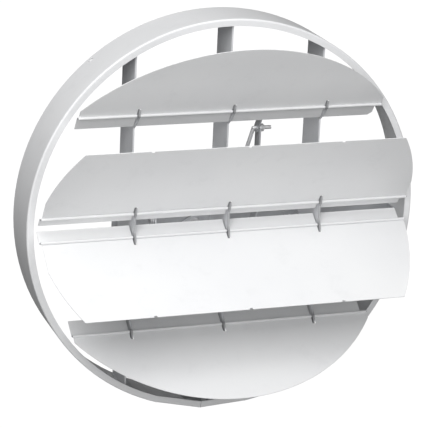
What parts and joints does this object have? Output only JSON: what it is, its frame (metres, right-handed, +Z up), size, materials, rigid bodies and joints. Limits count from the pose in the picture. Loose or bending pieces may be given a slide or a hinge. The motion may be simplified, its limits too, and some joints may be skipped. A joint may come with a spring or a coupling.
{
  "type": "ceiling air diffuser",
  "caption": "Round ceiling air diffuser: a flanged ring with cross bars and opposed hinged blades, set by cranks, tie bars and a central lever.",
  "frame": {"origin": "centre of the ring's top rim plane, on the ring's axis", "axes": "+X along the blade hinges, +Y from side A to side B, +Z up along the ring's axis into the duct"},
  "size_m": [0.508, 0.5083, 0.1728],
  "materials": {
    "painted_sheet": "satin powder coat",
    "zinc_steel": "zinc plated sheet steel",
    "plated_fasteners": "bright zinc plated steel"
  },
  "bodies": {
    "frame": {"ring": "painted_sheet", "splice_plate": "zinc_steel", "splice_rivets": "plated_fasteners", "bar_left": "painted_sheet", "bar_center": "painted_sheet", "bar_right": "painted_sheet", "cross_rail": "zinc_steel", "rail_brackets": "zinc_steel", "bracket_rivets": "plated_fasteners", "hinge_wire_a_outer": "plated_fasteners", "hinge_wire_a_inner": "plated_fasteners", "hinge_wire_b_inner": "plated_fasteners", "hinge_wire_b_outer": "plated_fasteners"},
    "blade_a_outer": {"blade_a_outer": "painted_sheet", "crank_a_outer": "zinc_steel"},
    "blade_a_inner": {"blade_a_inner": "painted_sheet", "crank_a_inner": "zinc_steel", "tie_pin_a": "plated_fasteners"},
    "blade_b_inner": {"blade_b_inner": "painted_sheet", "crank_b_inner": "zinc_steel", "tie_pin_b": "plated_fasteners"},
    "blade_b_outer": {"blade_b_outer": "painted_sheet", "crank_b_outer": "zinc_steel"},
    "tie_a": {"tie_bar_a": "zinc_steel"},
    "tie_b": {"tie_bar_b": "zinc_steel"},
    "rod_a": {"link_rod_a": "plated_fasteners", "rod_washer_a": "plated_fasteners", "rod_nut_a": "plated_fasteners"},
    "rod_b": {"link_rod_b": "plated_fasteners", "rod_washer_b": "plated_fasteners", "rod_nut_b": "plated_fasteners"},
    "lever": {"operator_lever": "zinc_steel", "operator_stud": "plated_fasteners", "operator_washer": "plated_fasteners", "operator_clip": "plated_fasteners"}
  },
  "joints": [
    {"name": "blade_a_inner_hinge", "type": "hinge", "parent": "frame", "child": "blade_a_inner", "pos_m": [0, -0.0187, -0.0798], "axis": [1, 0, 0], "range_deg": [-26, 19]},
    {"name": "blade_a_outer_hinge", "type": "hinge", "parent": "frame", "child": "blade_a_outer", "pos_m": [0, -0.1423, -0.0798], "axis": [1, 0, 0], "range_deg": [-26, 19]},
    {"name": "blade_b_inner_hinge", "type": "hinge", "parent": "frame", "child": "blade_b_inner", "pos_m": [0, 0.0111, -0.0798], "axis": [1, 0, 0], "range_deg": [-31.1, 42.6]},
    {"name": "blade_b_outer_hinge", "type": "hinge", "parent": "frame", "child": "blade_b_outer", "pos_m": [0, 0.1347, -0.0798], "axis": [1, 0, 0], "range_deg": [-31.1, 42.6]},
    {"name": "tie_bar_a_pin", "type": "hinge", "parent": "blade_a_inner", "child": "tie_a", "pos_m": [0.047, 0.01463, -0.04253], "axis": [1, 0, 0], "range_deg": [-19, 26]},
    {"name": "tie_bar_b_pin", "type": "hinge", "parent": "blade_b_inner", "child": "tie_b", "pos_m": [-0.0905, 0.00139, -0.0492], "axis": [1, 0, 0], "range_deg": [-42.6, 31.1]},
    {"name": "link_rod_a_swing", "type": "hinge", "parent": "tie_a", "child": "rod_a", "pos_m": [0.047, -0.10897, -0.04253], "axis": [1, 0, 0], "range_deg": [-3, 4.1]},
    {"name": "link_rod_b_swing", "type": "hinge", "parent": "tie_b", "child": "rod_b", "pos_m": [-0.0905, 0.12499, -0.0492], "axis": [1, 0, 0], "range_deg": [-6.6, 4.8]},
    {"name": "operator_turn", "type": "hinge", "parent": "frame", "child": "lever", "pos_m": [-0.02, 0.024, -0.007], "axis": [0, 0, 1], "range_deg": [-12.4, 16.9]}
  ],
  "couplings": [
    {"joint": "blade_a_outer_hinge", "follows": "blade_a_inner_hinge", "ratio": 1},
    {"joint": "blade_b_inner_hinge", "follows": "blade_a_inner_hinge", "ratio": -1.6364},
    {"joint": "blade_b_outer_hinge", "follows": "blade_a_inner_hinge", "ratio": -1.6364},
    {"joint": "tie_bar_a_pin", "follows": "blade_a_inner_hinge", "ratio": -1},
    {"joint": "tie_bar_b_pin", "follows": "blade_a_inner_hinge", "ratio": 1.6364},
    {"joint": "link_rod_a_swing", "follows": "blade_a_inner_hinge", "ratio": -0.153},
    {"joint": "link_rod_b_swing", "follows": "blade_a_inner_hinge", "ratio": 0.2487},
    {"joint": "operator_turn", "follows": "blade_a_inner_hinge", "ratio": -0.646}
  ]
}
